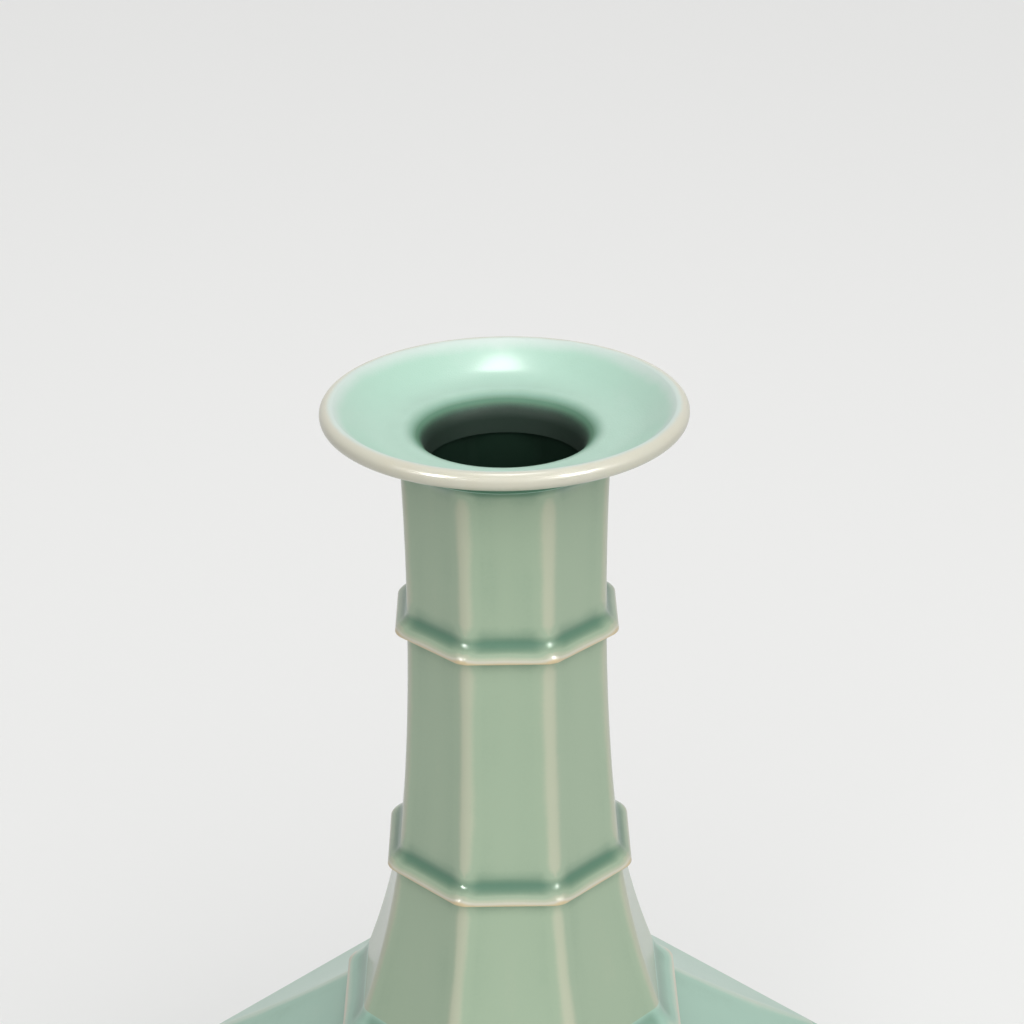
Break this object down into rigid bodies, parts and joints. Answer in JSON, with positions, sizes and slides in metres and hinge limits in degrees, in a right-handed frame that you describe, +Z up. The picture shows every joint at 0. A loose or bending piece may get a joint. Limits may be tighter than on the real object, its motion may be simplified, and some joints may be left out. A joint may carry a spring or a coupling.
{
  "type": "dish-mouth vase",
  "caption": "Eight-sided celadon bottle vase with a round dish mouth, a tall neck with raised fillets, a sloping shoulder and a rounded belly on a foot ring.",
  "frame": {"origin": "centre of the plane that the foot ring stands on", "axes": "+Z up along the vase's axis, out of the mouth; a flat side of the body faces each of +X, -X, +Y and -Y, and the picture looks along +Y and down"},
  "size_m": [0.2046, 0.2046, 0.3578],
  "materials": {
    "mouth_glaze": "glossy turquoise-green celadon glaze with a cream lip",
    "neck_glaze": "glossy sage-green celadon glaze, thin and cream on the ridges",
    "fillet_glaze": "glossy celadon glaze, deep green in the cove and cream on the edge",
    "body_glaze": "glossy mint-green celadon glaze",
    "floor_glaze": "glossy mint-green celadon glaze",
    "foot_clay": "glazed sides and a bare, brown-fired standing edge"
  },
  "bodies": {
    "root": {"dish_mouth": "mouth_glaze", "upper_neck": "neck_glaze", "lower_neck": "neck_glaze", "neck_flare": "neck_glaze", "upper_neck_fillet": "fillet_glaze", "lower_neck_fillet": "fillet_glaze", "neck_base_fillet": "fillet_glaze", "shoulder_edge_fillet": "fillet_glaze", "shoulder": "body_glaze", "belly": "body_glaze", "floor_plate": "floor_glaze", "foot_ring": "foot_clay"}
  },
  "joints": []
}
